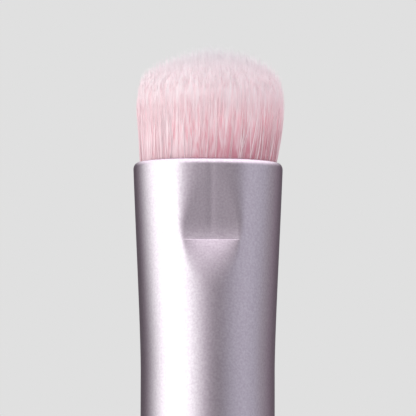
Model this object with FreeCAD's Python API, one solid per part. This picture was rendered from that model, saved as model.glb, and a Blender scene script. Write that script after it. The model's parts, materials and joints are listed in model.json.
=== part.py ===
"""Eyeshadow brush: a domed filament tuft in a pressed aluminium ferrule on a turned wooden handle.

Units are millimetres. +Z runs up the brush from the tail to the tuft, +X runs across the broad side of
the mouth, and the origin is the middle of the straight grip on the handle.
"""

import FreeCAD, Part

import math
import os

V = FreeCAD.Vector
UP = V(0, 0, 1)
ACROSS = V(1, 0, 0)
ORIGIN = V(0, 0, 0)

# Ferrule: a drawn tube, pressed oval at the mouth. Each pair is a depth and how much of the oval is left
tube_diameter = 9.8
wall = 0.4
ferrule_length = 36.0
mouth_width = 11.0
mouth_thickness = 8.5
press_length = 15.2
press_shares = ((0.0, 1.0), (0.25, 0.76), (0.5, 0.46), (0.75, 0.19), (0.93, 0.03), (1.0, 0.0))
lip_round_share = 0.42

# The two flats that the press jaws leave beside the mouth, the short ledge where they end, and the
# shallow run-out below it. A drop share is how far a slope falls for each unit that it goes outwards
flat_press_depth = 0.175
flat_length = 6.0
ledge_depth = 0.15
ledge_drop_share = 0.8
runout_drop_share = 4.6

# Tuft: free filaments above the mouth
tuft_length = 8.6
tuft_width = 11.0
tuft_thickness = 8.4
dome_height = 3.4
swell_height_share = 0.55
swell_width_share = 0.72

# Root of the tuft, drawn in to a bound neck where the bore is round
tuft_fit = 0.03
neck_length = 4.6
neck_glue_gap = 0.25
thread_diameter = 0.35
thread_turns = 8

# The line about which the tuft bends, and the round seam where the bending part starts
bend_axis_depth = 2.0
bend_rim_clearance = 0.16
bend_gap = 0.08

# Glue that pots the root
glue_cover = 1.0
glue_below_root = 1.5

# Handle, with the tenon that the ferrule is glued on
grip_diameter = 10.6
grip_length = 14.0
swell_length = 14.0
shoulder_step = 0.05
shoulder_round = 0.25
tenon_end_gap = 3.7
tenon_glue_gap = 0.15
tenon_chamfer = 0.6
taper_length = 78.0
taper_waist_diameter = 6.0
taper_shares = (0.35, 0.7)
tail_diameter = 5.2

overrun = 5.0
level_tolerance = 0.001

# Levels that follow from the sizes above
ferrule_tail_z = grip_length / 2 + swell_length
mouth_z = ferrule_tail_z + ferrule_length
round_z = mouth_z - press_length
flat_end_z = mouth_z - flat_length
bend_axis_z = mouth_z - bend_axis_depth
tuft_top_z = mouth_z + tuft_length
dome_z = tuft_top_z - dome_height
root_end_z = round_z - neck_length
glue_end_z = root_end_z - glue_below_root
tenon_top_z = glue_end_z - tenon_end_gap
tail_z = -grip_length / 2 - taper_length

# Half sizes that follow
tube_radius = tube_diameter / 2
bore_radius = tube_radius - wall
flat_half = mouth_thickness / 2 - flat_press_depth
held_half_x = mouth_width / 2 - wall - tuft_fit
held_half_y = flat_half - wall - tuft_fit
neck_radius = bore_radius - neck_glue_gap - thread_diameter
bend_radius = math.hypot(flat_half, bend_axis_depth) + bend_rim_clearance
tenon_radius = bore_radius - tenon_glue_gap
grip_radius = grip_diameter / 2
tail_radius = tail_diameter / 2


def oval(half_x, half_y, z):
    """Closed wire of an ellipse at height z: a unit circle stretched to the two half sizes."""
    curve = Part.Circle(ORIGIN, UP, 1).toBSpline()
    for number, pole in enumerate(curve.getPoles(), 1):
        curve.setPole(number, V(pole.x * half_x, pole.y * half_y, z))
    return Part.Wire([curve.toShape()])


def loft(sections):
    """Smooth solid through ovals, each given as half_x, half_y and z."""
    return Part.makeLoft([oval(*section) for section in sections], True, False)


def slab(low_z, high_z):
    """Block between two levels, wider than the whole brush."""
    side = mouth_width + grip_diameter
    return Part.makeBox(side, side, high_z - low_z, V(-side / 2, -side / 2, low_z))


def point(radius, z):
    """Point of an outline that is turned about Z."""
    return V(radius, 0, z)


def line(start, end):
    """Straight edge of an outline."""
    return Part.LineSegment(start, end).toShape()


def curve_through_poles(*poles):
    """Bezier edge of an outline."""
    curve = Part.BezierCurve()
    curve.setPoles(list(poles))
    return curve.toShape()


def quarter_round(centre, radius, start_degrees):
    """Edge of a quarter circle that runs clockwise from the given angle, 90 being up."""
    angles = [math.radians(start_degrees - turn) for turn in (0, 45, 90)]
    return Part.Arc(*[centre + V(math.cos(a), 0, math.sin(a)) * radius for a in angles]).toShape()


def turn(edges):
    """Solid of a closed outline turned about Z."""
    return Part.Face(Part.Wire(edges)).revolve(ORIGIN, UP, 360)


def tube_solid(inset):
    """The pressed tube as a filled solid, taken in by inset all over. It is round below the press."""
    radius = tube_radius - inset
    widening = mouth_width / 2 - tube_radius
    thinning = mouth_thickness / 2 - tube_radius
    pressed = loft([
        (radius + widening * oval_left, radius + thinning * oval_left, mouth_z - press_length * depth)
        for depth, oval_left in press_shares
    ])
    tube = Part.makeCylinder(radius, round_z - ferrule_tail_z, V(0, 0, ferrule_tail_z), UP)
    return pressed.fuse(tube).removeSplitter()


def press_jaws(inset):
    """What the press takes off both broad sides, down to the ledge and its run-out."""
    face_y = flat_half - inset
    runout_y = face_y + ledge_depth
    far_y = runout_y + overrun
    ledge_z = flat_end_z - inset
    runout_z = ledge_z - ledge_depth * ledge_drop_share
    top_z = mouth_z + overrun
    half_x = mouth_width / 2 + overrun
    corners = [
        V(-half_x, face_y, top_z),
        V(-half_x, face_y, ledge_z),
        V(-half_x, runout_y, runout_z),
        V(-half_x, far_y, runout_z - overrun * runout_drop_share),
        V(-half_x, far_y, top_z),
    ]
    back_jaw = Part.Face(Part.makePolygon(corners + corners[:1])).extrude(ACROSS * 2 * half_x)
    front_jaw = back_jaw.copy()
    front_jaw.rotate(ORIGIN, UP, 180)
    return back_jaw.fuse(front_jaw)


def bore_solid():
    """Everything inside the ferrule's wall."""
    return tube_solid(wall).cut(press_jaws(wall))


def at_mouth(edge):
    """Whether an edge lies in the mouth's end face."""
    box = edge.BoundBox
    return max(abs(box.ZMin - mouth_z), abs(box.ZMax - mouth_z)) < level_tolerance


def make_ferrule():
    """Thin shell with a rounded lip, two pressed flats and a round tail."""
    shell = tube_solid(0).cut(press_jaws(0)).cut(bore_solid())
    return shell.makeFillet(wall * lip_round_share, [edge for edge in shell.Edges if at_mouth(edge)])


def tuft_envelope():
    """The free filaments as one form: it leaves the mouth, swells and closes in a dome."""
    full_half_x = tuft_width / 2
    full_half_y = tuft_thickness / 2
    body = loft([
        (held_half_x, held_half_y, mouth_z),
        (
            held_half_x + (full_half_x - held_half_x) * swell_width_share,
            held_half_y + (full_half_y - held_half_y) * swell_width_share,
            mouth_z + (dome_z - mouth_z) * swell_height_share,
        ),
        (full_half_x, full_half_y, dome_z),
    ])
    stretch = FreeCAD.Matrix()
    stretch.scale(V(full_half_x, full_half_y, dome_height))
    dome = Part.makeSphere(1).transformGeometry(stretch)
    dome.translate(V(0, 0, dome_z))
    return body.fuse(dome.common(slab(dome_z, tuft_top_z + overrun))).removeSplitter()


def bend_cylinder(radius):
    """Round bar along the bending axis."""
    return Part.makeCylinder(radius, 2 * tuft_width, V(-tuft_width, 0, bend_axis_z), ACROSS)


def make_tuft_head():
    """The part of the free filaments that bends, hollowed underneath to ride round the bending axis."""
    return tuft_envelope().cut(bend_cylinder(bend_radius + bend_gap))


def make_tuft_root():
    """The filaments that the ferrule holds: a foot above the mouth, and a root drawn in to a round neck."""
    foot = tuft_envelope().common(bend_cylinder(bend_radius))
    root = loft([
        (held_half_x, held_half_y, mouth_z),
        ((held_half_x + neck_radius) / 2, held_half_y, (mouth_z + round_z) / 2),
        (neck_radius, neck_radius, round_z),
    ])
    neck = Part.makeCylinder(neck_radius, neck_length, V(0, 0, root_end_z), UP)
    return foot.fuse(root).fuse(neck).removeSplitter()


def make_binding_thread():
    """Thread wound tight round the middle of the neck, its turns side by side."""
    half_thread = thread_diameter / 2
    middle_radius = neck_radius + half_thread
    band_length = thread_turns * thread_diameter
    band_top_z = round_z - (neck_length - band_length) / 2
    band_end_z = band_top_z - band_length
    edges = []
    for number in range(thread_turns):
        centre = point(middle_radius, band_top_z - (number + 0.5) * thread_diameter)
        edges.append(quarter_round(centre, half_thread, 90))
        edges.append(quarter_round(centre, half_thread, 0))
    edges.append(line(point(middle_radius, band_end_z), point(neck_radius, band_end_z)))
    edges.append(line(point(neck_radius, band_end_z), point(neck_radius, band_top_z)))
    edges.append(line(point(neck_radius, band_top_z), point(middle_radius, band_top_z)))
    return turn(edges)


def make_root_glue(tuft_root, binding_thread):
    """Epoxy that fills the bore round the neck and under the root's cut end."""
    plug = bore_solid().common(slab(glue_end_z, round_z - glue_cover))
    return plug.cut(tuft_root).cut(binding_thread)


def make_handle():
    """Turned handle: tenon, shoulder under the ferrule, swell, straight grip, long taper, round tail."""
    shoulder_radius = tube_radius + shoulder_step
    shoulder_z = ferrule_tail_z - shoulder_round
    grip_top_z = grip_length / 2
    tail_ball_z = tail_z + tail_radius
    full_share, waist_share = taper_shares
    tail_end = point(0, tail_z)
    tenon_end = point(0, tenon_top_z)
    tenon_edge = point(tenon_radius - tenon_chamfer, tenon_top_z)
    tenon_side = point(tenon_radius, tenon_top_z - tenon_chamfer)
    tenon_foot = point(tenon_radius, ferrule_tail_z)
    seat_edge = point(shoulder_radius - shoulder_round, ferrule_tail_z)
    shoulder = point(shoulder_radius, shoulder_z)
    grip_top = point(grip_radius, grip_top_z)
    grip_end = point(grip_radius, -grip_top_z)
    tail_side = point(tail_radius, tail_ball_z)
    swell_pole = point(grip_radius, (shoulder_z + grip_top_z) / 2)
    full_pole = point(grip_radius, -grip_top_z - taper_length * full_share)
    waist_pole = point(taper_waist_diameter / 2, -grip_top_z - taper_length * waist_share)
    return turn([
        line(tail_end, tenon_end),
        line(tenon_end, tenon_edge),
        line(tenon_edge, tenon_side),
        line(tenon_side, tenon_foot),
        line(tenon_foot, seat_edge),
        quarter_round(point(shoulder_radius - shoulder_round, shoulder_z), shoulder_round, 90),
        curve_through_poles(shoulder, swell_pole, grip_top),
        line(grip_top, grip_end),
        curve_through_poles(grip_end, full_pole, waist_pole, tail_side),
        quarter_round(point(0, tail_ball_z), tail_radius, 0),
    ])


def make_tenon_glue():
    """Glue line between the tenon and the ferrule's bore."""
    length = tenon_top_z - tenon_chamfer - ferrule_tail_z
    foot = V(0, 0, ferrule_tail_z)
    sleeve = Part.makeCylinder(bore_radius, length, foot, UP)
    return sleeve.cut(Part.makeCylinder(tenon_radius, length, foot, UP))


def main():
    """Builds every sub-part and writes it under its own name."""
    tuft_root = make_tuft_root()
    binding_thread = make_binding_thread()
    parts = {
        "ferrule": make_ferrule(),
        "tuft_head": make_tuft_head(),
        "tuft_root": tuft_root,
        "binding_thread": binding_thread,
        "root_glue": make_root_glue(tuft_root, binding_thread),
        "handle": make_handle(),
        "tenon_glue": make_tenon_glue(),
    }
    os.makedirs("parts", exist_ok=True)
    for name, shape in parts.items():
        print(name, len(shape.Solids), shape.isValid(), round(shape.Volume, 3))
        shape.exportStep(f"parts/{name}.step")


main()
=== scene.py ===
"""Looks of the eyeshadow brush: a domed filament tuft, a blasted metal ferrule and a lacquered handle.

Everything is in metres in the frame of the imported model: +Z runs up the brush, +X runs across the broad
side of the mouth, and the photograph is taken from -Y.
"""

import json
import logging
import math
from collections.abc import Sequence
from dataclasses import dataclass
from enum import Enum

import bpy
import numpy as np
from bpy.types import Material, Node, NodeSocket, NodeTree, Object
from mathutils import Matrix, Vector


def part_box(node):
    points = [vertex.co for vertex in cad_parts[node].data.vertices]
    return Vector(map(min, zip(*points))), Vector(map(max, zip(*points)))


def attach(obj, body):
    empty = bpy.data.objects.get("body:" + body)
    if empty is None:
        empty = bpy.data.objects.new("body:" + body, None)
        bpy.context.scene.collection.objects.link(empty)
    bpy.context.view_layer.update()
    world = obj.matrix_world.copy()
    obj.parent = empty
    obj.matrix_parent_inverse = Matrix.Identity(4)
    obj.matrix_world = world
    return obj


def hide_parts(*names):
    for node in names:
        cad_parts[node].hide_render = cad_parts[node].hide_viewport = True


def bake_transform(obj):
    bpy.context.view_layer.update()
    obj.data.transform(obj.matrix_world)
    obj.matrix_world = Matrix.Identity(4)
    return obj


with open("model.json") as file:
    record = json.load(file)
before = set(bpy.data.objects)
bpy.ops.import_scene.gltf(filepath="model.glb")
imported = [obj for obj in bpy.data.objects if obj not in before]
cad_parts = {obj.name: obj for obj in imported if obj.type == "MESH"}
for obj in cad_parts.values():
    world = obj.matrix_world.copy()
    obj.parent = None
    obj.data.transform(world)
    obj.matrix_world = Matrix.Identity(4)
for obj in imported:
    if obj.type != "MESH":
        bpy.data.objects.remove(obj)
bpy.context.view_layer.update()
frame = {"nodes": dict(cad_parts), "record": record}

MM = 0.001
BAKE_MAP = "OFBake"
REST_PLACE = "rest_place"
TENON_GLUE_GAP = 0.15 * MM
SHOULDER_STEP = 0.05 * MM
LONG_FILAMENT_RINGS = (0.0, 0.16, 0.34, 0.52, 0.7, 0.85, 0.96)
SHORT_FILAMENT_RINGS = (0.0, 0.65)

Array = np.ndarray
Random = np.random.Generator
Value = NodeSocket | float | Sequence[float]

log = logging.getLogger("eyeshadow_brush")


class Body(Enum):
    """The two bodies that pieces ride on."""

    BRUSH = "brush"
    TUFT = "tuft"


class Slot(Enum):
    """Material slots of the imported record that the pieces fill."""

    FERRULE = "ferrule_metal"
    FILAMENT = "filament"
    HANDLE = "lacquered_wood"


class Place(Enum):
    """The layers of single filaments, by where they show."""

    SIDE = "side"
    DOME = "dome"
    STRAYS = "strays"


class Cast(Enum):
    """Slight colour casts of the studio's panels, as linear red, green and blue."""

    KEY = (0.97, 1.06, 0.98)
    PLAIN = (1.0, 1.0, 1.0)
    FILL = (0.95, 1.02, 1.06)
    FLAG = (1.05, 0.9, 1.0)


def linear(code: str) -> tuple[float, float, float, float]:
    """Turns an sRGB hex colour into linear RGBA, by the numbers of the sRGB standard.

    Args:
        code: Colour such as "#e0e0e0".

    Returns:
        Red, green and blue in linear light, and an alpha of 1.
    """
    shares = [int(code[i : i + 2], 16) / 255 for i in (1, 3, 5)]
    red, green, blue = [s / 12.92 if s <= 0.04045 else ((s + 0.055) / 1.055) ** 2.4 for s in shares]
    return red, green, blue, 1.0


class Nodes:
    """Node tree of a material or of the world, with a method for each step that the looks are made of."""

    def __init__(self, tree: NodeTree) -> None:
        """Takes over a tree and clears it."""
        tree.nodes.clear()
        self.tree = tree

    def add(self, kind: str, inputs: dict | None = None, **settings) -> Node:
        """Adds one node with its settings and links.

        Args:
            kind: Blender's name of the node type.
            inputs: Input names or numbers, each with a constant or with the socket to link from.
            **settings: Attributes of the node.

        Returns:
            The new node.
        """
        node = self.tree.nodes.new(kind)
        for name, value in settings.items():
            setattr(node, name, value)
        for name, value in (inputs or {}).items():
            if isinstance(value, NodeSocket):
                self.tree.links.new(value, node.inputs[name])
            else:
                node.inputs[name].default_value = value
        return node

    def place(self, kind: str = "Object") -> NodeSocket:
        """Coordinates of the shaded point: its place on the object, unless another kind is named."""
        return self.add("ShaderNodeTexCoord").outputs[kind]

    def axes(self, place: NodeSocket) -> list[NodeSocket]:
        """The three numbers of a place."""
        return list(self.add("ShaderNodeSeparateXYZ", {"Vector": place}).outputs)

    def work(self, operation: str, first: Value, second: Value) -> NodeSocket:
        """Result of an operation on two numbers."""
        return self.add("ShaderNodeMath", {0: first, 1: second}, operation=operation).outputs[0]

    def span(self, value: Value, start: float, end: float, low: float = 0.0, high: float = 1.0) -> NodeSocket:
        """Maps a value's range from start to end to the range from low to high, and holds it at both."""
        inputs = {"Value": value, "From Min": start, "From Max": end, "To Min": low, "To Max": high}
        return self.add("ShaderNodeMapRange", inputs).outputs["Result"]

    def ease(self, value: Value, start: float, end: float) -> NodeSocket:
        """Share of the way that a value has come from start to end, eased in and out."""
        inputs = {"Value": value, "From Min": start, "From Max": end}
        return self.add("ShaderNodeMapRange", inputs, interpolation_type="SMOOTHSTEP").outputs["Result"]

    def noise(self, place: NodeSocket, size: float, detail: float = 2.0) -> NodeSocket:
        """Noise whose grains have about a size in metres."""
        inputs = {"Vector": place, "Scale": 1 / size, "Detail": detail}
        return self.add("ShaderNodeTexNoise", inputs).outputs["Fac"]

    def ramp(
        self, at: NodeSocket, places: Sequence[float], colours: Sequence[tuple[float, ...]]
    ) -> NodeSocket:
        """Looks a colour up on a ramp.

        Args:
            at: Place on the ramp.
            places: Places of the colours, from 0 for the first to 1 for the last.
            colours: Linear RGBA at each place.

        Returns:
            The colour.
        """
        node = self.add("ShaderNodeValToRGB", {"Fac": at})
        for place in places[1:-1]:
            node.color_ramp.elements.new(place)
        for stop, colour in zip(node.color_ramp.elements, colours):
            stop.color = colour
        return node.outputs["Color"]

    def mix(self, share: Value, first: Value, second: Value) -> NodeSocket:
        """Mixes two colours, from all of the first at a share of 0 to all of the second at 1."""
        inputs = {"Factor": share, "A": first, "B": second}
        return self.add("ShaderNodeMix", inputs, data_type="RGBA").outputs["Result"]

    def bump(self, height: NodeSocket, distance: float) -> NodeSocket:
        """Normal of a surface raised by a height from 0 to 1, times a distance in metres."""
        inputs = {"Height": height, "Strength": 1.0, "Distance": distance}
        return self.add("ShaderNodeBump", inputs).outputs["Normal"]

    def either(self, share: NodeSocket, first: NodeSocket, second: NodeSocket) -> NodeSocket:
        """Mixes two shaders by a share."""
        return self.add("ShaderNodeMixShader", {0: share, 1: first, 2: second}).outputs["Shader"]

    def surface(self, inputs: dict) -> NodeSocket:
        """Adds the shader of a surface."""
        return self.add("ShaderNodeBsdfPrincipled", inputs).outputs["BSDF"]

    def finish(self, shader: NodeSocket, kind: str = "ShaderNodeOutputMaterial") -> None:
        """Ends the tree with its output, which is a material's unless another kind is named."""
        self.add(kind, {"Surface": shader})


def new_material(name: str) -> tuple[Material, Nodes]:
    """Makes an empty node material.

    Args:
        name: Name of the real material and its process.

    Returns:
        The material and its empty node tree.
    """
    material = bpy.data.materials.new(name)
    material.use_nodes = True
    return material, Nodes(material.node_tree)


def grid_quads(rows: int, columns: int, close_rows: bool) -> Array:
    """Quads of a grid whose columns run round and close.

    Args:
        rows: Number of rows of points.
        columns: Number of points in a row.
        close_rows: Whether the last row joins the first one.

    Returns:
        Array of four point numbers a quad, wound so that rows that rise show their outside.
    """
    numbers = np.arange(rows * columns).reshape(rows, columns)
    lower = numbers if close_rows else numbers[:-1]
    upper = np.roll(numbers, -1, axis=0) if close_rows else numbers[1:]
    quads = [lower, np.roll(lower, -1, axis=1), np.roll(upper, -1, axis=1), upper]
    return np.stack(quads, axis=-1).reshape(-1, 4)


def closed_grid(body: Array, columns: int, ends: Array) -> tuple[Array, list[Array]]:
    """Closes a grid of points by a fan from its first row and a fan from its last row.

    Args:
        body: Points of the grid, row by row.
        columns: Number of points in a row.
        ends: The low and the high end point.

    Returns:
        Points with the ends last, and the quads, the low fan and the high fan, wound outwards.
    """
    count = len(body)
    around = np.arange(columns)
    onward = np.roll(around, -1)
    last = count - columns
    low = np.stack([onward, around, np.full_like(around, count)], axis=1)
    high = np.stack([last + around, last + onward, np.full_like(around, count + 1)], axis=1)
    faces = [grid_quads(count // columns, columns, False), low, high]
    return np.concatenate([body, ends]), faces


def make_piece(
    name: str,
    points: Array,
    faces: Sequence[Array],
    material: Material,
    uv: Array | None = None,
    smooth: bool = True,
) -> Object:
    """Puts arrays of points and faces into a mesh object at the origin.

    Args:
        name: Name of the piece.
        points: Points in metres, three numbers each.
        faces: Arrays of point numbers, one array for each number of corners.
        material: Finish of the whole piece.
        uv: Two numbers for each face corner, in the order of the faces, or None.
        smooth: Whether the faces are shaded as one smooth surface.

    Returns:
        The linked object.
    """
    mesh = bpy.data.meshes.new(name)
    corners = np.concatenate([part.ravel() for part in faces]).astype(np.int32)
    totals = np.concatenate([np.full(len(part), part.shape[1]) for part in faces])
    starts = np.concatenate(([0], np.cumsum(totals)[:-1])).astype(np.int32)
    mesh.vertices.add(len(points))
    mesh.vertices.foreach_set("co", points.astype(np.float32).ravel())
    mesh.loops.add(len(corners))
    mesh.loops.foreach_set("vertex_index", corners)
    mesh.polygons.add(len(totals))
    mesh.polygons.foreach_set("loop_start", starts)
    mesh.update(calc_edges=True)
    if smooth:
        mesh.shade_smooth()
    else:
        mesh.shade_flat()
    if uv is not None:
        layer = mesh.uv_layers.new(name=BAKE_MAP)
        layer.data.foreach_set("uv", uv.astype(np.float32).ravel())
    mesh.materials.append(material)
    piece = bpy.data.objects.new(name, mesh)
    bpy.context.scene.collection.objects.link(piece)
    log.info("%s: %d points, %d faces", name, len(points), len(totals))
    return piece


def bezier(poles: Sequence[tuple[float, float]], rows: int) -> Array:
    """Points of a Bezier curve: the sum of its poles, each weighted by its Bernstein polynomial.

    Args:
        poles: The curve's poles, each a radius and a height.
        rows: Number of points, with the first one, which is left out.

    Returns:
        Points after the first pole, two numbers each.
    """
    t = np.linspace(0, 1, rows)[1:, None]
    order = len(poles) - 1
    shares = [math.comb(order, i) * t**i * (1 - t) ** (order - i) for i in range(order + 1)]
    return sum(share * np.array(pole) for share, pole in zip(shares, poles))


def soft_min(first: Array, second: Array, blend: float | Array) -> Array:
    """Lesser of two arrays, rounded off where they differ by less than blend."""
    overlap = np.maximum(blend - np.abs(first - second), 0) / blend
    return np.minimum(first, second) - overlap**2 * blend / 4


@dataclass(frozen=True)
class BlastedAnodisedAluminium:
    """Aluminium blasted with fine grit, then anodised and dyed pale mauve.

    Blasting spreads each reflection into a broad satin sheen with a faint sparkle, and the dye tints it.
    """

    colour: str = "#b6a7b5"
    # Lighter colour of the painted glint that the grit's noise spreads over the metal.
    glint_colour: str = "#c4b7c3"
    roughness: float = 0.3
    grit: float = 0.15 * MM
    grit_height: float = 0.004 * MM
    glint_range: tuple[float, float] = (0.3, 0.7)

    def material(self) -> Material:
        """Builds the node material: grit-sized noise, drawn coarser to show, paints a glint into the colour
        and bumps it.
        """
        material, nodes = new_material("blasted_anodised_aluminium")
        grain = nodes.noise(nodes.place(), self.grit, detail=1.0)
        glint = nodes.span(grain, *self.glint_range)
        nodes.finish(nodes.surface({
            "Base Color": nodes.mix(glint, linear(self.colour), linear(self.glint_colour)),
            "Metallic": 1.0,
            "Roughness": self.roughness,
            "Normal": nodes.bump(grain, self.grit_height),
        }))
        return material


@dataclass(frozen=True)
class TaperedPolyester:
    """Tapered polyester filament, dyed pink and left white towards the tip.

    Filament comes smooth from the melt, so a soft highlight runs along it. Here it is opaque, and its greyish
    tip lets the dome fade into a pale surround as thin clear tips do.
    """

    pink_colours: tuple[str, ...] = ("#cc8f9d", "#f8d6de", "#f2dfe5", "#dad7db")
    pale_colours: tuple[str, ...] = ("#d4b3be", "#faeaef", "#f4e8ed", "#dcdadf")
    dye_places: tuple[float, ...] = (0.0, 0.45, 0.7, 1.0)
    roughness: float = 0.45
    ior: float = 1.575
    shine: float = 0.6

    def material(self) -> Material:
        """Builds the node material: the map's height sets the dye, its width goes from pink to pale."""
        material, nodes = new_material("tapered_polyester_filament")
        across, along, _ = nodes.axes(nodes.add("ShaderNodeUVMap", uv_map=BAKE_MAP).outputs["UV"])
        dyes = [
            nodes.ramp(along, self.dye_places, [linear(code) for code in codes])
            for codes in (self.pink_colours, self.pale_colours)
        ]
        nodes.finish(nodes.surface({
            "Base Color": nodes.mix(across, *dyes),
            "Roughness": self.roughness,
            "IOR": self.ior,
            "Specular IOR Level": self.shine,
        }))
        return material


@dataclass(frozen=True)
class PackedPolyester:
    """The same filaments packed side by side inside the tuft.

    Pale strands cross over deep pink gaps, and both turn paler upwards. The root's deep pink is dye, deepened
    as painted shade under the mouth's rim, and at the dome's top both colours turn darker and greyer as
    painted shade under the tips. Across X colour and strands hold painted light and shade: towards -X more
    strands and paler colour, as if lit from that side, and towards +X fewer strands and the deep pink reaching
    higher, as painted shade. The painted shade drift is that change a metre across. The shine is twice a plain
    surface's, because filaments reflect at their front and at their back.
    """

    # Dye colours with painted shade: the root's deep pink is deepened under the mouth's rim, and the last
    # colours, at the dome's top, are darker and greyer under the tips.
    gap_dye_and_shade: tuple[str, ...] = ("#c27487", "#e7a8b6", "#eac8d1", "#d6c8cf")
    strand_dye_and_shade: tuple[str, ...] = ("#d2a4b1", "#efd4dc", "#ead8df", "#d6ccd2")
    strand: float = 0.24 * MM
    stretch: float = 0.07
    slant: float = 0.09
    relief: float = 0.03 * MM
    roughness: float = 0.6
    ior: float = 1.575
    shine: float = 1.0
    # Painted light and shade across X: paler with more strands towards -X, deeper pink with fewer towards +X.
    painted_shade_drift: float = 0.032 / MM
    painted_shade_top: float = 0.5
    strand_range: tuple[float, float] = (0.4, 0.66)
    dye_places: tuple[float, ...] = (0.0, 0.3, 0.5, 1.0)

    def material(self, low: float, high: float) -> Material:
        """Builds the node material: the height sets both colours, two slanting drawn-out noises the strands.

        The painted shade grows with X, fades out upwards and lowers both the height and the noises, so that
        the
        -X side turns paler and the +X side deeper pink. All read the places at rest.

        Args:
            low: Height of the mouth in metres.
            high: Height of the dome's top in metres.

        Returns:
            The material.
        """
        material, nodes = new_material("packed_polyester_filaments")
        place = nodes.add("ShaderNodeAttribute", attribute_name=REST_PLACE).outputs["Vector"]
        x, _, z = nodes.axes(place)
        height = nodes.span(z, low, high)
        noises = []
        for slant in (self.slant, -self.slant):
            inputs = {"Vector": place, "Angle": slant}
            leaning = nodes.add("ShaderNodeVectorRotate", inputs, rotation_type="Y_AXIS")
            inputs = {0: leaning.outputs["Vector"], 1: (1.0, 1.0, self.stretch)}
            drawn = nodes.add("ShaderNodeVectorMath", inputs, operation="MULTIPLY")
            noises.append(nodes.noise(drawn.outputs["Vector"], self.strand))
        strands = nodes.work("MAXIMUM", *noises)
        # Painted shade towards +X and painted light towards -X, strongest at the root and faded out higher up.
        shade_slope = nodes.span(height, 0.0, self.painted_shade_top, self.painted_shade_drift, 0.0)
        side_shade = nodes.work("MULTIPLY", x, shade_slope)
        packing = nodes.work("SUBTRACT", strands, side_shade)
        shown = nodes.ease(packing, *self.strand_range)
        shaded_height = nodes.work("SUBTRACT", height, side_shade)
        dyes = [
            nodes.ramp(shaded_height, self.dye_places, [linear(code) for code in codes])
            for codes in (self.gap_dye_and_shade, self.strand_dye_and_shade)
        ]
        nodes.finish(nodes.surface({
            "Base Color": nodes.mix(shown, *dyes),
            "Roughness": self.roughness,
            "IOR": self.ior,
            "Specular IOR Level": self.shine,
            "Normal": nodes.bump(strands, self.relief),
        }))
        return material


@dataclass(frozen=True)
class PearlLacquer:
    """Mauve lacquer with fine mica over turned and sanded wood.

    The clear top coat gives sharp highlights, and the mica below it a faint metallic shimmer.
    """

    colour: str = "#ac98aa"
    flake_colour: str = "#b8a6b6"
    flake: float = 0.12 * MM
    metallic: float = 0.35
    roughness: float = 0.38
    coat_roughness: float = 0.06

    def material(self) -> Material:
        """Builds the node material: cells of the mica's size lighten the colour a little."""
        material, nodes = new_material("pearl_lacquered_wood")
        flakes = nodes.add("ShaderNodeTexVoronoi", {"Vector": nodes.place(), "Scale": 1 / self.flake})
        shares = nodes.add("ShaderNodeSeparateColor", {"Color": flakes.outputs["Color"]})
        nodes.finish(nodes.surface({
            "Base Color": nodes.mix(shares.outputs["Red"], linear(self.colour), linear(self.flake_colour)),
            "Metallic": self.metallic,
            "Roughness": self.roughness,
            "Coat Weight": 1.0,
            "Coat Roughness": self.coat_roughness,
        }))
        return material


@dataclass(frozen=True)
class CuredEpoxy:
    """Cured epoxy: clear, slightly yellow and glossy, with faint clouds."""

    colour: str = "#d8c59a"
    cloud_colour: str = "#c7ad78"
    cloud: float = 2.0 * MM
    roughness: float = 0.15
    ior: float = 1.55

    def material(self) -> Material:
        """Builds the node material: slow noise clouds the colour."""
        material, nodes = new_material("cured_epoxy")
        clouds = nodes.noise(nodes.place(), self.cloud)
        tint = nodes.mix(clouds, linear(self.colour), linear(self.cloud_colour))
        nodes.finish(nodes.surface({"Base Color": tint, "Roughness": self.roughness, "IOR": self.ior}))
        return material


@dataclass(frozen=True)
class SoakedCotton:
    """Twisted cotton thread soaked with glue: matt ivory with a fine slanting twist."""

    colour: str = "#e6e0d2"
    twist_colour: str = "#b9ae98"
    twist: float = 0.2 * MM
    roughness: float = 0.8

    def material(self) -> Material:
        """Builds the node material: slanting bands of the twist's size shade the colour."""
        material, nodes = new_material("soaked_cotton_thread")
        inputs = {"Vector": nodes.place(), "Scale": 1 / self.twist / math.tau, "Distortion": 1.0}
        twist = nodes.add("ShaderNodeTexWave", inputs, bands_direction="DIAGONAL").outputs["Fac"]
        tint = nodes.mix(twist, linear(self.twist_colour), linear(self.colour))
        nodes.finish(nodes.surface({"Base Color": tint, "Roughness": self.roughness}))
        return material


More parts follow.
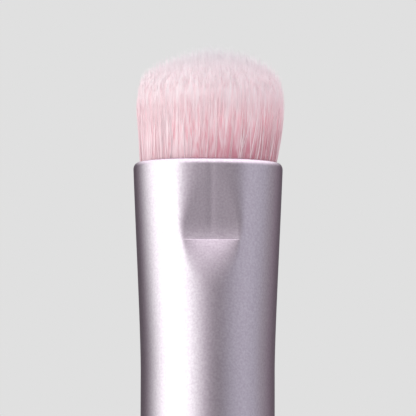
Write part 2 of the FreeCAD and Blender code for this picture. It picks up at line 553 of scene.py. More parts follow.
@dataclass
class Ferrule:
    """Thin drawn tube, pressed oval at the mouth, with a flat pressed into each broad side."""

    mouth_half_width: float
    tube_radius: float
    tail_z: float
    mouth_z: float
    # Oval press
    mouth_half_thickness: float = 4.25 * MM
    wall: float = 0.4 * MM
    press_length: float = 15.2 * MM
    press_power: float = 1.5
    press_fullness: float = 0.55
    # Flat, ledge and run-out
    flat_half: float = 4.045 * MM
    flat_length: float = 6.0 * MM
    flat_toe_length: float = 1.5 * MM
    flat_toe_rise: float = 0.11 * MM
    ledge_depth: float = 0.01 * MM
    ledge_drop: float = 0.04 * MM
    runout_length: float = 3.7 * MM
    flat_edge_blend_mouth: float = 0.36 * MM
    flat_edge_blend_ledge: float = 0.06 * MM
    dish_depth: float = 0.01 * MM
    dish_half_width: float = 0.28 * MM
    dish_fade: float = 1.0 * MM
    least_dent: float = 1e-6
    # Ends of the tube
    lip_depth: float = 0.48 * MM
    lip_inset_share: float = 0.8
    tail_round: float = 0.06 * MM
    # Rows and columns of points
    near_below: float = 2.4 * MM
    close_below: float = 0.4 * MM
    close_above: float = 0.2 * MM
    stretch_rows: tuple[int, ...] = (24, 30, 36, 40, 50)
    inner_rows: int = 24
    lip_rows: int = 15
    corner_rows: int = 5
    columns: int = 360
    column_crowding: float = 0.6

    def section_rows(self) -> Array:
        """Walks once round the wall's section, from the tail up the outside, over the lip and back inside.

        The rows of the outside lie closer and closer towards the ledge, then evenly up to the lip.

        Returns:
            Rows of depth below the mouth and inset from the outer surface, in metres.
        """
        length = self.mouth_z - self.tail_z
        ledge = self.flat_length
        corner = np.linspace(0, math.pi / 2, self.corner_rows)
        outer_corner = np.stack(
            [length - self.tail_round * (1 - np.cos(corner)), self.tail_round * (1 - np.sin(corner))], axis=1
        )
        ends = [
            length - 2 * self.tail_round,
            self.press_length,
            ledge + self.near_below,
            ledge + self.close_below,
            ledge - self.close_above,
            self.lip_depth,
        ]
        stretches = [
            np.linspace(start, end, rows)[1:] for start, end, rows in zip(ends, ends[1:], self.stretch_rows)
        ]
        depths = np.concatenate([ends[:1], *stretches])[:-1]
        outer = np.stack([depths, np.zeros_like(depths)], axis=1)
        turn = np.linspace(0, math.pi / 2, self.lip_rows)
        lip_inset = self.wall * self.lip_inset_share
        inside = self.wall - lip_inset
        lip = np.stack([self.lip_depth * (1 - np.sin(turn)), lip_inset * (1 - np.cos(turn))], axis=1)
        turn = corner[1:]
        edge = np.stack([inside * (1 - np.cos(turn)), lip_inset + inside * np.sin(turn)], axis=1)
        lip = np.concatenate([lip, edge])
        pressed = np.linspace(inside, self.press_length, self.inner_rows)[1:]
        inner_depths = np.concatenate([pressed, [length - self.tail_round]])
        inner = np.stack([inner_depths, np.full_like(inner_depths, self.wall)], axis=1)
        inner_edge = np.array([[length, self.wall - self.tail_round]])
        return np.concatenate([outer_corner, outer, lip, inner, inner_edge])

    def oval(self, depth: Array, inset: Array) -> tuple[Array, Array]:
        """Half sizes of the pressed tube: from the mouth's to the tube's, by a share that falls from 1 to 0.

        Args:
            depth: Depth below the mouth.
            inset: Inset from the outer surface.

        Returns:
            Half width and half thickness.
        """
        gone = np.clip(depth / self.press_length, 0, 1)
        left = (1 - gone) ** self.press_power * (1 + self.press_fullness * gone)
        halves = (self.mouth_half_width, self.mouth_half_thickness)
        half_x, half_y = [self.tube_radius + (half - self.tube_radius) * left - inset for half in halves]
        return half_x, half_y

    def pressed(self, thick: Array, depth: Array, inset: Array, across: Array) -> Array:
        """Presses the flat into a broad side.

        The flat is a plane, dished a little along its middle, with a toe that rises by the square of the
        way to a small ledge. Below the ledge the dent that is left fades by a square, over a length that
        falls with the root of its depth, so that it ends in a soft bow.

        Args:
            thick: Distance of the oval tube from the middle plane.
            depth: Depth below the mouth.
            inset: Inset from the outer surface.
            across: Place across the broad side.

        Returns:
            Distance of the pressed tube from the middle plane.
        """
        below = depth - self.flat_length - inset
        toe = self.flat_toe_rise * np.clip(1 + below / self.flat_toe_length, 0, 1) ** 2
        step = self.ledge_depth * np.clip(below / self.ledge_drop, 0, 1)
        dish = self.dish_depth * np.exp(-((across / self.dish_half_width) ** 2))
        dish = dish * np.clip(-below / self.dish_fade, 0, 1)
        level = self.flat_half - inset + toe + step - dish
        down = np.clip(depth / self.flat_length, 0, 1)
        blend = self.flat_edge_blend_mouth + (self.flat_edge_blend_ledge - self.flat_edge_blend_mouth) * down
        flat = soft_min(thick, level, blend)
        ledge_x, ledge_y = self.oval(self.flat_length + inset, inset)
        at_ledge = ledge_y * np.sqrt(np.clip(1 - (across / ledge_x) ** 2, 0, 1))
        top = self.flat_half - inset + self.flat_toe_rise + self.ledge_depth
        dent = at_ledge - soft_min(at_ledge, top, self.flat_edge_blend_ledge)
        deepest = ledge_y - top
        length = self.runout_length * np.sqrt(np.clip(dent / deepest, self.least_dent, 1))
        fade = np.clip(1 - (below - self.ledge_drop) / length, 0, 1) ** 2
        return np.where(below < self.ledge_drop, flat, thick - dent * fade)

    def points(self) -> Array:
        """Works out the wall's surface from an angle round the tube and a row of its section.

        A row is an ellipse with the oval's half sizes at its depth, less the inset, with both flats pressed.

        Returns:
            Points in metres, row by row.
        """
        depth, inset = [column[:, None] for column in self.section_rows().T]
        turn = np.arange(self.columns) / self.columns
        angle = math.tau * turn + self.column_crowding / 2 * np.sin(2 * math.tau * turn)
        half_x, half_y = self.oval(depth, inset)
        x = half_x * np.cos(angle)
        y = half_y * np.sin(angle)
        y = np.sign(y) * self.pressed(np.abs(y), depth, inset, x)
        z = np.broadcast_to(self.mouth_z - depth, x.shape)
        return np.stack([x, y, z], axis=-1).reshape(-1, 3)

    def build(self, finish: Material) -> Object:
        """Makes the ferrule's closed shell in place of its CAD node.

        Args:
            finish: Material of the metal.

        Returns:
            The piece, riding on the brush.
        """
        points = self.points()
        faces = grid_quads(len(points) // self.columns, self.columns, True)
        piece = make_piece("ferrule_shell", points, [faces], finish)
        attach(piece, Body.BRUSH.value)
        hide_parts("ferrule")
        return piece


@dataclass
class Handle:
    """Turned wooden handle: tenon, shoulder, swell, straight grip, long taper and round tail."""

    tail_z: float
    tenon_top_z: float
    shoulder_z: float
    grip_half_length: float
    grip_radius: float
    tenon_radius: float
    shoulder_radius: float
    tail_radius: float = 2.6 * MM
    shoulder_round: float = 0.25 * MM
    tenon_chamfer: float = 0.6 * MM
    taper_waist_radius: float = 3.0 * MM
    taper_full_share: float = 0.35
    taper_waist_share: float = 0.7
    tail_rows: int = 16
    taper_rows: int = 70
    grip_rows: int = 9
    swell_rows: int = 20
    shoulder_rows: int = 8
    columns: int = 160

    def profile(self) -> Array:
        """Outline from the tail to the tenon's end: arcs for the tail and shoulder, Bezier curves between.

        Returns:
            Rows of radius and height in metres. The ends lie on the axis.
        """
        ball_z = self.tail_z + self.tail_radius
        turn = np.linspace(0, math.pi / 2, self.tail_rows)
        tail = np.stack([self.tail_radius * np.sin(turn), ball_z - self.tail_radius * np.cos(turn)], axis=1)
        taper_length = -self.grip_half_length - self.tail_z
        poles = [
            (self.tail_radius, ball_z),
            (self.taper_waist_radius, -self.grip_half_length - taper_length * self.taper_waist_share),
            (self.grip_radius, -self.grip_half_length - taper_length * self.taper_full_share),
            (self.grip_radius, -self.grip_half_length),
        ]
        taper = bezier(poles, self.taper_rows)
        heights = np.linspace(-1, 1, self.grip_rows)[1:] * self.grip_half_length
        grip = np.stack([np.full_like(heights, self.grip_radius), heights], axis=1)
        seat_z = self.shoulder_z - self.shoulder_round
        poles = [
            (self.grip_radius, self.grip_half_length),
            (self.grip_radius, (seat_z + self.grip_half_length) / 2),
            (self.shoulder_radius, seat_z),
        ]
        swell = bezier(poles, self.swell_rows)
        turn = np.linspace(0, math.pi / 2, self.shoulder_rows)[1:]
        inner = self.shoulder_radius - self.shoulder_round
        shoulder = np.stack(
            [inner + self.shoulder_round * np.cos(turn), seat_z + self.shoulder_round * np.sin(turn)], axis=1
        )
        tenon = np.array([
            [self.tenon_radius, self.shoulder_z],
            [self.tenon_radius, self.tenon_top_z - self.tenon_chamfer],
            [self.tenon_radius - self.tenon_chamfer, self.tenon_top_z],
            [0, self.tenon_top_z],
        ])
        return np.concatenate([tail, taper, grip, swell, shoulder, tenon])

    def build(self, finish: Material) -> Object:
        """Turns the outline about the axis, in place of the CAD node.

        Args:
            finish: Material of the lacquer.

        Returns:
            The piece, riding on the brush.
        """
        rows = self.profile()
        angle = math.tau * np.arange(self.columns) / self.columns
        radius, height = [column[:, None] for column in rows[1:-1].T]
        x = radius * np.cos(angle)
        body = np.stack([x, radius * np.sin(angle), np.broadcast_to(height, x.shape)], axis=-1).reshape(-1, 3)
        ends = np.array([[0, 0, rows[0, 1]], [0, 0, rows[-1, 1]]])
        points, faces = closed_grid(body, self.columns, ends)
        piece = make_piece("handle_lacquered", points, faces, finish)
        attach(piece, Body.BRUSH.value)
        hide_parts("handle")
        return piece


@dataclass(frozen=True)
class Layer:
    """One layer of filaments: its place, their number, sides and radius, and where the rings of each lie.

    The shares are those of the way to the tip, which follows the last ring as one point.
    """

    place: Place
    count: int
    sides: int
    radius: float
    shares: tuple[float, ...]


@dataclass
class Tuft:
    """Bundle of tapered filaments, bound in the ferrule, free and domed above the mouth.

    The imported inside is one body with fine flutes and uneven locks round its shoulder. The loose layer round
    it, the tips of the dome and the strays are single filaments.
    """

    mouth_z: float
    top_z: float
    root_z: float
    full_half_width: float
    full_half_thickness: float
    # Outline of the bundle
    held_half_width: float = 5.02 * MM
    held_half_thickness: float = 3.6 * MM
    neck_radius: float = 3.8 * MM
    neck_depth: float = 15.2 * MM
    dome_height: float = 3.4 * MM
    sway: float = 0.16 * MM
    trim_drop: float = 0.2 * MM
    bend_length: float = 5.0 * MM
    # Packed inside, and the waves of its flutes and locks
    cover_low: float = 0.03 * MM
    cover_high: float = 0.22 * MM
    dome_cover: float = 0.85 * MM
    shoulder_cover: float = 0.5 * MM
    flute_depth: float = 0.01 * MM
    flute_waves: tuple[int, int] = (30, 110)
    lock_rise: float = 0.3 * MM
    lock_fade: int = 8
    wave_count: int = 24
    wave_scale: float = 5.0
    foot_rows: int = 24
    free_rows: int = 26
    dome_rows: int = 34
    columns: int = 260
    # Loose filaments
    loose_crowding: float = 0.55
    loose_depth: tuple[float, float] = (1.0, 1.6)
    clumps: int = 110
    clump_share: float = 0.5
    clump_spread: tuple[float, float] = (0.4, 1.2)
    clump_scatter: float = 0.2
    lean_power: float = 1.2
    side_reach: float = 0.4 * MM
    held_depth: float = 0.8 * MM
    # Strays
    stray_lean: float = 0.08
    stray_bow: float = 0.03
    stray_reach: tuple[float, float] = (0.5, 1.0)
    stray_tones: tuple[float, float] = (0.7, 1.0)
    # Filaments of the dome
    dome_edge: float = 0.985
    dome_scatter: float = 0.5
    edge_lean: float = 0.015
    side_hold: float = 0.5 * MM
    dome_hold: float = 0.6 * MM
    cover_steps: int = 60
    tuft_pitch: float = 0.9 * MM
    tuft_rise: float = 0.16 * MM
    # Lean, tips, thickness and tones of the filaments
    own_lean: float = 0.014
    tip_rise: float = 0.42 * MM
    tip_drop: float = 1.25 * MM
    tip_thinning: float = 0.62
    thickness_spread: float = 0.25
    taper_share: float = 0.9
    taper_power: float = 1.8
    tone_shape: float = 1.6
    tone_scatter: float = 0.18
    top_tone: float = 0.999
    # Map of the filaments
    tone_columns: int = 48
    column_margin: float = 0.05
    map_low: float = 0.1
    map_free: float = 0.86
    map_held: float = 0.05
    cap_half_width: float = 0.4
    cap_half_height: float = 0.01
    # Layers of filaments and the seed of their draws
    seed: int = 5
    layers: tuple[Layer, ...] = (
        Layer(Place.SIDE, count=240, sides=4, radius=0.015 * MM, shares=LONG_FILAMENT_RINGS),
        Layer(Place.DOME, count=19000, sides=3, radius=0.0145 * MM, shares=SHORT_FILAMENT_RINGS),
        Layer(Place.STRAYS, count=70, sides=5, radius=0.032 * MM, shares=LONG_FILAMENT_RINGS),
    )

    @property
    def dome_rise(self) -> float:
        """Height above the mouth at which the dome starts."""
        return self.top_z - self.mouth_z - self.dome_height

    def half_sizes(self, rise: Array) -> tuple[Array, Array]:
        """Half width and half thickness of the bundle at a height above the mouth.

        Above the mouth they swell by a sine to the full size where the dome starts. Below it they draw in
        by a cosine to the round neck.

        Args:
            rise: Height above the mouth in metres, below zero inside the ferrule.

        Returns:
            Half width and half thickness in metres.
        """
        swell = np.sin(math.pi / 2 * np.clip(rise / self.dome_rise, 0, 1))
        held = 0.5 + 0.5 * np.cos(math.pi * np.clip(-rise / self.neck_depth, 0, 1))
        widths = (self.held_half_width, self.full_half_width)
        depths = (self.held_half_thickness, self.full_half_thickness)
        half_x, half_y = [
            self.neck_radius + (mouth - self.neck_radius) * held + (full - mouth) * swell
            for mouth, full in (widths, depths)
        ]
        return half_x, half_y

    def swayed(self, rise: Array) -> Array:
        """Offset of the bundle to +X, which grows soon above the mouth and levels off by a fourth power."""
        left = 1 - np.clip(rise / (self.top_z - self.mouth_z), 0, 1)
        return self.sway * (1 - left**4)

    def cover(self, rise: Array) -> Array:
        """Thickness of the loose layer at a height: it grows by a smooth step from the mouth to the dome."""
        share = np.clip(rise / self.dome_rise, 0, 1)
        return self.cover_low + (self.cover_high - self.cover_low) * share**2 * (3 - 2 * share)

    def packed_points(self, rng: Random) -> Array:
        """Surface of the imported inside: the bundle less the loose layer, closed by a lower dome.

        A row is an ellipse whose radius is fluted by a sum of cosines of the angle. On the dome the ellipse
        shrinks by the cosine of the way up while the height grows by its sine. The same sum lifts and lowers
        the locks, most at the shoulder. The dome is trimmed lower on the -X side by a sine of the place
        across, and the whole sways to +X.

        Args:
            rng: Source of the numbers and phases of the waves.

        Returns:
            Points in metres, row by row from the root to the last row below the dome's top.
        """
        way = np.linspace(0, math.pi / 2, self.dome_rows)[:-1]
        foot = np.linspace(self.root_z - self.mouth_z, 0, self.foot_rows)[:-1]
        free = np.linspace(0, self.dome_rise - self.shoulder_cover, self.free_rows)[:-1]
        dome = self.packed_level(np.cos(way))
        rise = np.concatenate([foot, free, dome])[:, None]
        way_up = np.concatenate([np.zeros(len(foot) + len(free)), way])[:, None]
        shrink = np.cos(way_up)
        angle = math.tau * np.arange(self.columns) / self.columns
        waves = rng.integers(*self.flute_waves, self.wave_count)
        phases = rng.uniform(0, math.tau, self.wave_count)
        ripple = np.cos(waves[:, None] * angle + phases[:, None]).sum(0) / self.wave_scale
        flutes = ripple * self.flute_depth
        locks = ripple * self.lock_rise * shrink**self.lock_fade * np.clip(rise / self.dome_rise, 0, 1) ** 2
        less = self.cover(rise)
        half_x, half_y = self.half_sizes(rise)
        x = (half_x - less + flutes) * shrink * np.cos(angle)
        low = self.trim_drop * np.sin(math.pi * np.clip(-x / half_x, 0, 1))
        x = x + self.swayed(rise)
        y = (half_y - less + flutes) * shrink * np.sin(angle)
        z = self.mouth_z + rise + locks - low * np.sin(way_up)
        return np.stack([x, y, z], axis=-1).reshape(-1, 3)

    def side_places(self, layer: Layer, rise: Array, rng: Random) -> tuple[Array, Array]:
        """Places of the loose filaments in the bundle's section, taken as a unit disc.

        The turn starts at random, crowded towards +X by a sine. It drifts along a lean and bows by a sine of
        the way up, a loose filament to the middle of its clump and a stray its own way. The radius keeps its
        share of the loose layer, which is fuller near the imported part.

        Args:
            layer: The layer.
            rise: Heights above the mouth (filament, ring).
            rng: Source of all variation.

        Returns:
            Places (filament, ring, 2), and tones from 0 pink to 1 pale.
        """
        along = np.clip(rise / self.dome_rise, 0, 1)
        turn = rng.uniform(0, math.tau, layer.count)
        turn = (turn - self.loose_crowding * np.sin(turn)) % math.tau
        clump = np.floor(turn / math.tau * self.clumps).astype(int)
        middle = clump + 0.5 + rng.normal(0, self.clump_scatter, self.clumps)[clump]
        clump_turn = middle / self.clumps * math.tau
        if layer.place is Place.STRAYS:
            lean = rng.normal(0, self.stray_lean, layer.count)
            pull = rng.normal(0, self.stray_bow, layer.count)
            tone = rng.uniform(*self.stray_tones, layer.count)
        else:
            lean = rng.normal(0, self.own_lean, layer.count)
            pull = (clump_turn - turn) * self.clump_share * rng.uniform(*self.clump_spread, layer.count)
            tone = rng.beta(self.tone_shape, self.tone_shape, self.clumps)[clump]
            tone = tone + rng.normal(0, self.tone_scatter, layer.count)
        drifted = turn[:, None] + lean[:, None] * along**self.lean_power
        turn = drifted + pull[:, None] * np.sin(math.pi * along)
        out = rng.beta(*self.loose_depth, (layer.count, 1))
        radius = 1 - self.cover(rise) / self.full_half_width * (1 - out)
        return radius[..., None] * np.stack([np.cos(turn), np.sin(turn)], axis=-1), tone

    def dome_places(self, layer: Layer, shares: Array, rng: Random) -> tuple[Array, Array]:
        """Places of the dome's filaments in the bundle's section, taken as a unit disc.

        The radius goes by the root of the number and the turn by the golden angle. Each leans its own way,
        but outwards only by a little.

        Args:
            layer: The layer.
            shares: Shares of the way to the tip.
            rng: Source of all variation.

        Returns:
            Places (filament, ring, 2), and tones from 0 pink to 1 pale.
        """
        number = np.arange(layer.count) + 0.5
        turn = number * math.pi * (3 - math.sqrt(5)) + rng.normal(0, self.dome_scatter / np.sqrt(number))
        radius = self.dome_edge * np.sqrt(number / layer.count)
        root = radius[:, None] * np.stack([np.cos(turn), np.sin(turn)], axis=-1)
        lean = rng.normal(0, self.own_lean, root.shape)
        tone = rng.beta(self.tone_shape, self.tone_shape, layer.count)
        place = root[:, None, :] + lean[:, None, :] * shares[:, None]
        limit = radius[:, None] + self.edge_lean * shares
        inside = np.minimum(1, limit / np.linalg.norm(place, axis=-1))
        return place * inside[..., None], tone

    def dome_level(self, reach: Array) -> Array:
        """Height above the mouth of the dome at a share of the full section: a quarter of an ellipse."""
        return self.dome_rise + self.dome_height * np.sqrt(np.clip(1 - reach**2, 0, 1))

    def packed_level(self, reach: Array) -> Array:
        """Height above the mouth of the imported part's own dome at a share of its section."""
        low = self.dome_rise - self.shoulder_cover
        height = self.dome_height - self.dome_cover + self.shoulder_cover
        return low + height * np.sqrt(np.clip(1 - reach**2, 0, 1))

    def ragged(self, place: Array, rng: Random) -> Array:
        """Uneven heights of the small locks of the dome: a sum of cosines over the section, of one pitch.

        Args:
            place: Places in the bundle's section, taken as a unit disc.
            rng: Source of the waves' directions and phases.

        Returns:
            Offset of each tip in metres.
        """
        turn = rng.uniform(0, math.tau, self.wave_count)
        waves = math.tau / self.tuft_pitch * np.stack([np.cos(turn), np.sin(turn)])
        flat = place * np.array([self.full_half_width, self.full_half_thickness])
        phases = rng.uniform(0, math.tau, self.wave_count)
        return np.cos(flat @ waves + phases).sum(-1) / self.wave_scale * self.tuft_rise

    def dome_starts(self, place: Array) -> Array:
        """Heights above the mouth at which the dome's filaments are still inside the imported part.

        A filament leaves it through its side where the loose layer gets as thick as the filament is deep, or
        else through its dome, and starts a fixed length below that.

        Args:
            place: Places in the bundle's section, taken as a unit disc.

        Returns:
            Height of each start in metres.
        """
        reach = np.linalg.norm(place, axis=-1)
        half = np.array([self.full_half_width, self.full_half_thickness])
        deep = (1 - reach) * reach**2 / (place**2 / half).sum(-1)
        rise = np.linspace(0, self.dome_rise, self.cover_steps)
        through_side = np.interp(deep, self.cover(rise), rise) - self.side_hold
        through_dome = self.packed_level(reach) - self.dome_hold
        return np.where(deep < self.cover_high, through_side, through_dome)

    def centrelines(self, layer: Layer, rng: Random) -> tuple[Array, Array]:
        """Lays out the centrelines and tones of a layer.

        Loose filaments run from the root to tips near the dome's edge, and strays end lower. Those of the
        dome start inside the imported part. Tips spread from just above the dome to a drop below it, with the
        fewest at the top, by a power of an even draw. Those of the dome also follow its locks and its trim.

        Args:
            layer: The layer.
            rng: Source of all variation.

        Returns:
            Centreline points (filament, ring, 3), the tip last, and tones from 0 pink to 1 pale.
        """
        shares = np.array(layer.shares + (1.0,))
        fall = rng.uniform(0, 1, layer.count) ** self.tip_thinning
        spread = self.tip_rise - (self.tip_rise + self.tip_drop) * fall
        if layer.place is Place.DOME:
            place, tone = self.dome_places(layer, shares, rng)
            start = self.dome_starts(place[:, 0])
            trim = self.trim_drop * np.sin(math.pi * np.clip(-place[:, -1, 0], 0, 1))
            tip = self.dome_level(np.linalg.norm(place[:, -1], axis=-1)) + spread - trim
            tip = tip + self.ragged(place[:, 0], rng)
            rise = start[:, None] + (tip - start)[:, None] * shares
        else:
            scale = rng.uniform(*self.stray_reach, layer.count) if layer.place is Place.STRAYS else 1.0
            free = (self.dome_rise + self.side_reach + spread)[:, None] * shares * np.reshape(scale, (-1, 1))
            depths = (self.mouth_z - self.root_z, self.neck_depth, self.neck_depth / 2, self.held_depth)
            held = np.broadcast_to(-np.array(depths), (layer.count, len(depths)))
            rise = np.concatenate([held, free], axis=1)
            place, tone = self.side_places(layer, rise, rng)
        half_x, half_y = self.half_sizes(rise)
        x = place[..., 0] * half_x + self.swayed(rise)
        lines = np.stack([x, place[..., 1] * half_y, self.mouth_z + rise], axis=-1)
        return lines, np.clip(tone, 0, self.top_tone)

    def rings(self, layer: Layer, lines: Array, rng: Random) -> Array:
        """Sets a small level ring round each centreline point, thinner towards the tip.

        Args:
            layer: The layer.
            lines: Centreline points (filament, ring, 3) with the tips.
            rng: Source of the thickness and turn of each filament.

        Returns:
            Points of all filaments in a row, each with its rings and then its tip.
        """
        held = lines.shape[1] - 1 - len(layer.shares)
        along = np.concatenate([np.zeros(held), layer.shares])
        own = rng.uniform(1 - self.thickness_spread, 1 + self.thickness_spread, (layer.count, 1))
        reach = layer.radius * own * (1 - self.taper_share * along**self.taper_power)
        angle = rng.uniform(0, math.tau, (layer.count, 1)) + math.tau * np.arange(layer.sides) / layer.sides
        offset = np.stack([np.cos(angle), np.sin(angle), np.zeros_like(angle)], axis=-1)
        points = lines[:, :-1, None, :] + reach[:, :, None, None] * offset[:, None, :, :]
        return np.concatenate([points.reshape(layer.count, -1, 3), lines[:, -1:]], axis=1).reshape(-1, 3)

    def faces_and_map(self, layer: Layer, tones: Array, rise: Array) -> tuple[list[Array], Array]:
        """Faces of a layer's filaments and their map: a column for each tone, its height that in the bundle.

        Below the mouth the map's height falls a little towards the root.

        Args:
            layer: The layer.
            tones: Tone of each filament.
            rise: Heights above the mouth (filament, ring), the tip last.

        Returns:
            Quads, tip triangles and root caps, and two map numbers for each of their corners.
        """
        sides = layer.sides
        rings = rise.shape[1] - 1
        free = self.map_low + self.map_free * rise / (self.top_z - self.mouth_z)
        held = self.map_low - self.map_held * rise / (self.root_z - self.mouth_z)
        height = np.where(rise > 0, free, held)[:, :, None]
        around = np.arange(sides)
        top = (rings - 1) * sides + around
        quads = grid_quads(rings, sides, False)
        tips = np.stack([top, np.roll(top, -1), np.full(sides, rings * sides)], axis=1)
        cap = around[None, ::-1]
        side = around / sides
        step = 1 / sides
        quad_u = np.tile(np.stack([side, side + step, side + step, side], axis=-1), (rings - 1, 1))
        low = height[:, :-2]
        high = height[:, 1:-1]
        quad_v = np.repeat(np.concatenate([low, low, high, high], axis=2), sides, axis=1)
        tip_u = np.stack([side, side + step, side + step / 2], axis=1)
        last = height[:, -2:-1]
        tip_v = np.repeat(np.concatenate([last, last, height[:, -1:]], axis=2), sides, axis=1)
        cap_turn = math.tau * side[None, ::-1]
        cap_u = 0.5 + self.cap_half_width * np.cos(cap_turn)
        cap_v = height[:, :1] + self.cap_half_height * np.sin(cap_turn)
        column = np.floor(tones * self.tone_columns)[:, None, None]
        offset = (np.arange(len(tones)) * (rings * sides + 1))[:, None, None]
        faces = [(part[None] + offset).reshape(-1, part.shape[1]) for part in (quads, tips, cap)]
        width = 1 - 2 * self.column_margin
        maps = []
        for u, v in ((quad_u, quad_v), (tip_u, tip_v), (cap_u, cap_v)):
            across = (column + self.column_margin + width * u) / self.tone_columns
            maps.append(np.stack(np.broadcast_arrays(across, v), axis=-1).reshape(-1, 2))
        return faces, np.concatenate(maps)

    def join(self, piece: Object) -> None:
        """Bakes a finished piece's placement into its points.

        Args:
            piece: Piece of the tuft.
        """
        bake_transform(piece)

    def build(self, packed: Material, loose: Material) -> list[Object]:
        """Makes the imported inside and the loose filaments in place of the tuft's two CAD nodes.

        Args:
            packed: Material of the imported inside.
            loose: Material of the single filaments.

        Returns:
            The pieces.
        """
        rng = np.random.default_rng(self.seed)
        body = self.packed_points(rng)
        top_x = self.swayed(self.top_z - self.dome_cover - self.mouth_z)
        ends = np.array([[0, 0, self.root_z], [top_x, 0, self.top_z - self.dome_cover]])
        points, faces = closed_grid(body, self.columns, ends)
        inside = make_piece("tuft_packed_inside", points, faces, packed)
        rest = inside.data.attributes.new(REST_PLACE, "FLOAT_VECTOR", "POINT")
        rest.data.foreach_set("vector", points.astype(np.float32).ravel())
        self.join(inside)
        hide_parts("tuft_root")
        made = [inside]
        for layer in self.layers:
            lines, tones = self.centrelines(layer, rng)
            points = self.rings(layer, lines, rng)
            faces, uv = self.faces_and_map(layer, tones, lines[..., 2] - self.mouth_z)
            name = f"tuft_filaments_{layer.place.value}"
            piece = make_piece(name, points, faces, loose, uv, smooth=False)
            self.join(piece)
            made.append(piece)
        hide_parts("tuft_head")
        return made


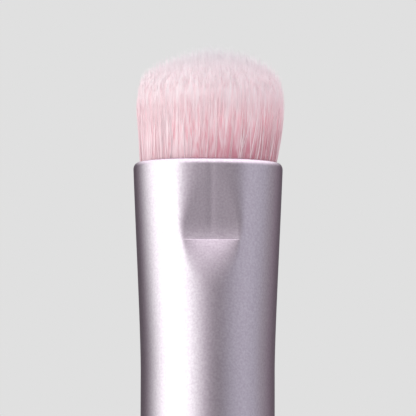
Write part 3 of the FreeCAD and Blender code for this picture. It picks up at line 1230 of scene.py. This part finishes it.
@dataclass
class Studio:
    """Pale floor, light tent and camera."""

    floor_z: float
    mouth_z: float
    # Floor
    floor_colour: str = "#c4c4c4"
    floor_roughness: float = 0.9
    floor_half: float = 3.0
    # Camera
    aim_drop: float = 3.26 * MM
    frame_width: float = 30.5 * MM
    distance: float = 0.35
    azimuth: float = -3.4
    elevation: float = -6.5
    roll: float = 0.1
    sensor: float = 36.0
    clip_span: float = 100.0
    # Tent: levels, and panels by azimuth in degrees, level and cast
    backdrop: str = "#e0e0e0"
    peak: float = 3.0
    top_shine: float = 2.4
    top_light: float = 0.92
    top_range: tuple[float, float] = (0.25, 0.8)
    plain_level: float = 1.25
    softening: float = 0.55
    panels: tuple[tuple[float, float, Cast], ...] = (
        (-180, 0.1, Cast.FLAG), (-140, 0.12, Cast.FLAG), (-126, 0.24, Cast.FLAG), (-118, 0.48, Cast.PLAIN),
        (-106, 0.9, Cast.KEY), (-100, 1.35, Cast.KEY), (-90, 1.8, Cast.KEY), (-80, 2.5, Cast.KEY),
        (-50, 2.7, Cast.KEY), (-38, 2.6, Cast.KEY), (-28, 2.1, Cast.KEY), (-19, 1.55, Cast.KEY),
        (-9, 1.05, Cast.PLAIN), (0, 0.64, Cast.PLAIN), (8, 0.42, Cast.PLAIN), (15, 0.34, Cast.PLAIN),
        (22, 0.37, Cast.PLAIN), (33, 0.53, Cast.FILL), (45, 0.71, Cast.FILL), (60, 0.84, Cast.FILL),
        (75, 0.8, Cast.FILL), (90, 0.68, Cast.FILL), (102, 0.54, Cast.PLAIN), (112, 0.44, Cast.PLAIN),
        (125, 0.34, Cast.FLAG), (140, 0.18, Cast.FLAG), (180, 0.1, Cast.FLAG),
    )

    def light(self) -> None:
        """Lights the scene by direction, as a tent with a softbox on the left and dark flags behind.

        The level depends on the azimuth, counted from the camera to the right, and turns into the top
        panel's level high above the horizon. Matt surfaces get a softer mix of it and a plain level. The
        camera sees only the plain backdrop.
        """
        world = bpy.data.worlds.new("studio_tent")
        world.use_nodes = True
        bpy.context.scene.world = world
        nodes = Nodes(world.node_tree)
        places = [azimuth / 360 + 0.5 for azimuth, _, _ in self.panels]
        colours = [
            (*(level / self.peak * share for share in cast.value), 1.0) for _, level, cast in self.panels
        ]
        x, y, z = nodes.axes(nodes.place("Generated"))
        azimuth = nodes.work("ARCTAN2", x, nodes.work("MULTIPLY", y, -1.0))
        middle = math.radians(self.azimuth)
        sides = nodes.ramp(nodes.span(azimuth, middle - math.pi, middle + math.pi), places, colours)
        high = nodes.ease(z, *self.top_range)
        rays = nodes.add("ShaderNodeLightPath").outputs
        matt = rays["Is Diffuse Ray"]
        top = nodes.span(matt, 0.0, 1.0, self.top_shine / self.peak, self.top_light / self.peak)
        soft = nodes.span(matt, 0.0, 1.0, 0.0, self.softening)
        plain = self.plain_level / self.peak
        tent = nodes.mix(high, nodes.mix(soft, sides, (plain, plain, plain, 1.0)), top)
        lit = nodes.add("ShaderNodeBackground", {"Color": tent, "Strength": self.peak})
        seen = nodes.add("ShaderNodeBackground", {"Color": linear(self.backdrop), "Strength": 1.0})
        both = nodes.either(rays["Is Camera Ray"], lit.outputs[0], seen.outputs[0])
        nodes.finish(both, "ShaderNodeOutputWorld")

    def floor(self) -> Object:
        """Lays a plain pale floor under the tail. Reflections look through it to the tent.

        Returns:
            The floor.
        """
        material, nodes = new_material("matt_paper_floor")
        paper = nodes.surface({"Base Color": linear(self.floor_colour), "Roughness": self.floor_roughness})
        glossy = nodes.add("ShaderNodeLightPath").outputs["Is Glossy Ray"]
        clear = nodes.add("ShaderNodeBsdfTransparent").outputs["BSDF"]
        nodes.finish(nodes.either(glossy, paper, clear))
        corners = np.array([[-1, -1], [1, -1], [1, 1], [-1, 1]]) * self.floor_half
        points = np.concatenate([corners, np.full((4, 1), self.floor_z)], axis=1)
        piece = make_piece("floor", points, [np.array([[0, 1, 2, 3]])], material)
        return piece

    def camera(self) -> Object:
        """Sets the camera low in front of the brush, looking slightly up, with a long lens.

        Returns:
            The scene's camera.
        """
        data = bpy.data.cameras.new("camera")
        data.sensor_width = self.sensor
        data.lens = self.sensor * self.distance / self.frame_width
        data.clip_start = self.distance / self.clip_span
        data.clip_end = self.distance * self.clip_span
        camera = bpy.data.objects.new("camera", data)
        bpy.context.scene.collection.objects.link(camera)
        rise = math.radians(self.elevation)
        turn = math.radians(self.azimuth)
        back = Vector((math.sin(turn) * math.cos(rise), -math.cos(turn) * math.cos(rise), math.sin(rise)))
        facing = (-back).to_track_quat("-Z", "Y").to_matrix().to_4x4()
        roll = Matrix.Rotation(math.radians(self.roll), 4, "Z")
        aim = Vector((0, 0, self.mouth_z - self.aim_drop))
        camera.matrix_world = Matrix.Translation(aim + back * self.distance) @ facing @ roll
        bpy.context.scene.camera = camera
        return camera


def dress_inner_nodes() -> None:
    """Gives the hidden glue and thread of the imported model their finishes."""
    epoxy = CuredEpoxy().material()
    finishes = {
        "root_glue": epoxy,
        "tenon_glue": epoxy,
        "binding_thread": SoakedCotton().material(),
    }
    for name, material in finishes.items():
        mesh = frame["nodes"][name].data
        mesh.materials.clear()
        mesh.materials.append(material)
        log.info("%s: %s", name, material.name)


def main() -> None:
    """Builds the sub-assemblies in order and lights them."""
    logging.basicConfig(level=logging.INFO, format="%(name)s: %(message)s")
    bpy.context.scene.view_settings.view_transform = "Standard"
    ferrule_low, ferrule_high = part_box("ferrule")
    handle_low, handle_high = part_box("handle")
    _, head_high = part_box("tuft_head")
    root_low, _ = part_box("tuft_root")
    grip = frame["record"]["mounts"][0]["dims"]
    tube_radius = ferrule_high.y
    mouth_z = ferrule_high.z

    ferrule = Ferrule(
        mouth_half_width=ferrule_high.x,
        tube_radius=tube_radius,
        tail_z=ferrule_low.z,
        mouth_z=mouth_z,
    )
    ferrule.build(BlastedAnodisedAluminium().material())
    handle = Handle(
        tail_z=handle_low.z,
        tenon_top_z=handle_high.z,
        shoulder_z=ferrule_low.z,
        grip_half_length=grip["length_mm"] * MM / 2,
        grip_radius=grip["r_mm"] * MM,
        tenon_radius=tube_radius - ferrule.wall - TENON_GLUE_GAP,
        shoulder_radius=tube_radius + SHOULDER_STEP,
    )
    handle.build(PearlLacquer().material())
    tuft = Tuft(
        mouth_z=mouth_z,
        top_z=head_high.z,
        root_z=root_low.z,
        full_half_width=head_high.x,
        full_half_thickness=head_high.y,
    )
    packed = PackedPolyester().material(mouth_z, head_high.z)
    tuft.build(packed, TaperedPolyester().material())
    dress_inner_nodes()
    studio = Studio(floor_z=handle_low.z, mouth_z=mouth_z)
    studio.light()
    studio.floor()
    studio.camera()


if __name__ == "__main__":
    main()
